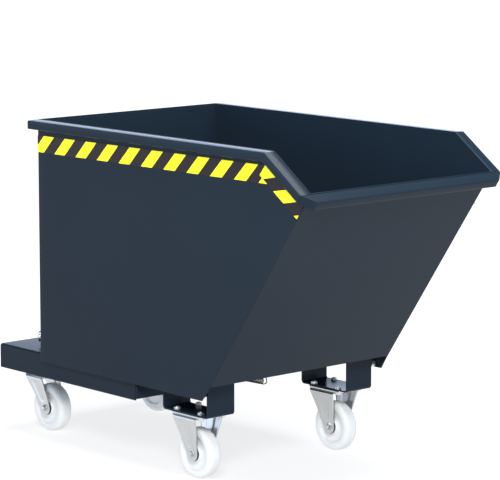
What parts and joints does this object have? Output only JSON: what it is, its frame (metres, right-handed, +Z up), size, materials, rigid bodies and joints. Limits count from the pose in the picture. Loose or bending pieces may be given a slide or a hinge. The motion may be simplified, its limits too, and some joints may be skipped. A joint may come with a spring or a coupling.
{
  "type": "tipping waste skip on castors",
  "caption": "Self-tipping sheet steel skip with a sloping front, rim tubes, hazard tape, a low tray base with fork pockets, a swing latch, and fixed and swivel castors.",
  "frame": {"origin": "on the floor under the middle of the whole skip", "axes": "+X towards the pouring lip, +Z up, the latch's side is -Y"},
  "size_m": [1.4504, 0.77, 0.989],
  "materials": {
    "powder_coat": "satin anthracite powder coat",
    "zinc_plate": "bright zinc plating",
    "spring_steel": "oiled black steel",
    "nylon": "moulded white polyamide",
    "hazard_tape": "printed self-adhesive film"
  },
  "bodies": {
    "base": {"base_tray": "powder_coat", "fork_pocket_near": "powder_coat", "base_arm_near": "powder_coat", "castor_bracket_near": "powder_coat", "fork_pocket_far": "powder_coat", "base_arm_far": "powder_coat", "castor_bracket_far": "powder_coat", "latch_post": "zinc_plate", "latch_nut": "zinc_plate", "tension_spring": "spring_steel", "front_near_castor_plate": "zinc_plate", "front_near_fork": "zinc_plate", "front_near_axle_bolt": "zinc_plate", "front_near_axle_nut": "zinc_plate", "rear_near_castor_plate": "zinc_plate", "front_far_castor_plate": "zinc_plate", "front_far_fork": "zinc_plate", "front_far_axle_bolt": "zinc_plate", "front_far_axle_nut": "zinc_plate", "rear_far_castor_plate": "zinc_plate"},
    "tub": {"tub_rear_panel": "powder_coat", "tub_floor_panel": "powder_coat", "tub_front_panel": "powder_coat", "lip_tube": "powder_coat", "tub_side_panel_near": "powder_coat", "rim_tube_near": "powder_coat", "hazard_tape_side_near": "hazard_tape", "hazard_tape_chamfer_near": "hazard_tape", "floor_runner_near": "powder_coat", "pivot_pin_near": "zinc_plate", "pivot_nut_near": "zinc_plate", "tub_side_panel_far": "powder_coat", "rim_tube_far": "powder_coat", "hazard_tape_side_far": "hazard_tape", "hazard_tape_chamfer_far": "hazard_tape", "floor_runner_far": "powder_coat", "pivot_pin_far": "zinc_plate", "pivot_nut_far": "zinc_plate", "latch_cleat": "powder_coat", "spring_lug": "powder_coat"},
    "latch": {"latch_hook": "zinc_plate", "latch_grip": "zinc_plate"},
    "front_near_wheel_set": {"front_near_wheel": "nylon", "front_near_bearing": "spring_steel"},
    "rear_near_swivel_fork": {"rear_near_fork": "zinc_plate", "rear_near_kingpin": "zinc_plate", "rear_near_axle_bolt": "zinc_plate", "rear_near_axle_nut": "zinc_plate"},
    "rear_near_wheel_set": {"rear_near_wheel": "nylon", "rear_near_bearing": "spring_steel"},
    "front_far_wheel_set": {"front_far_wheel": "nylon", "front_far_bearing": "spring_steel"},
    "rear_far_swivel_fork": {"rear_far_fork": "zinc_plate", "rear_far_kingpin": "zinc_plate", "rear_far_axle_bolt": "zinc_plate", "rear_far_axle_nut": "zinc_plate"},
    "rear_far_wheel_set": {"rear_far_wheel": "nylon", "rear_far_bearing": "spring_steel"}
  },
  "joints": [
    {"name": "tub_tip", "type": "hinge", "parent": "base", "child": "tub", "pos_m": [0.222, 0, 0.268], "axis": [0, 1, 0], "range_deg": [0, 55]},
    {"name": "latch_swing", "type": "hinge", "parent": "base", "child": "latch", "pos_m": [-0.583, -0.213, 0.3035], "axis": [0, 0, 1], "range_deg": [-50, 15]},
    {"name": "front_near_wheel_spin", "type": "hinge", "parent": "base", "child": "front_near_wheel_set", "pos_m": [0.145, -0.268, 0.0745], "axis": [0, 1, 0], "continuous": true},
    {"name": "rear_near_swivel", "type": "hinge", "parent": "base", "child": "rear_near_swivel_fork", "pos_m": [-0.668, -0.211, 0.1], "axis": [0, 0, 1], "continuous": true},
    {"name": "rear_near_wheel_spin", "type": "hinge", "parent": "rear_near_swivel_fork", "child": "rear_near_wheel_set", "pos_m": [-0.625, -0.211, 0.0745], "axis": [0, 1, 0], "continuous": true},
    {"name": "front_far_wheel_spin", "type": "hinge", "parent": "base", "child": "front_far_wheel_set", "pos_m": [0.145, 0.268, 0.0745], "axis": [0, 1, 0], "continuous": true},
    {"name": "rear_far_swivel", "type": "hinge", "parent": "base", "child": "rear_far_swivel_fork", "pos_m": [-0.668, 0.211, 0.1], "axis": [0, 0, 1], "continuous": true},
    {"name": "rear_far_wheel_spin", "type": "hinge", "parent": "rear_far_swivel_fork", "child": "rear_far_wheel_set", "pos_m": [-0.625, 0.211, 0.0745], "axis": [0, 1, 0], "continuous": true}
  ]
}
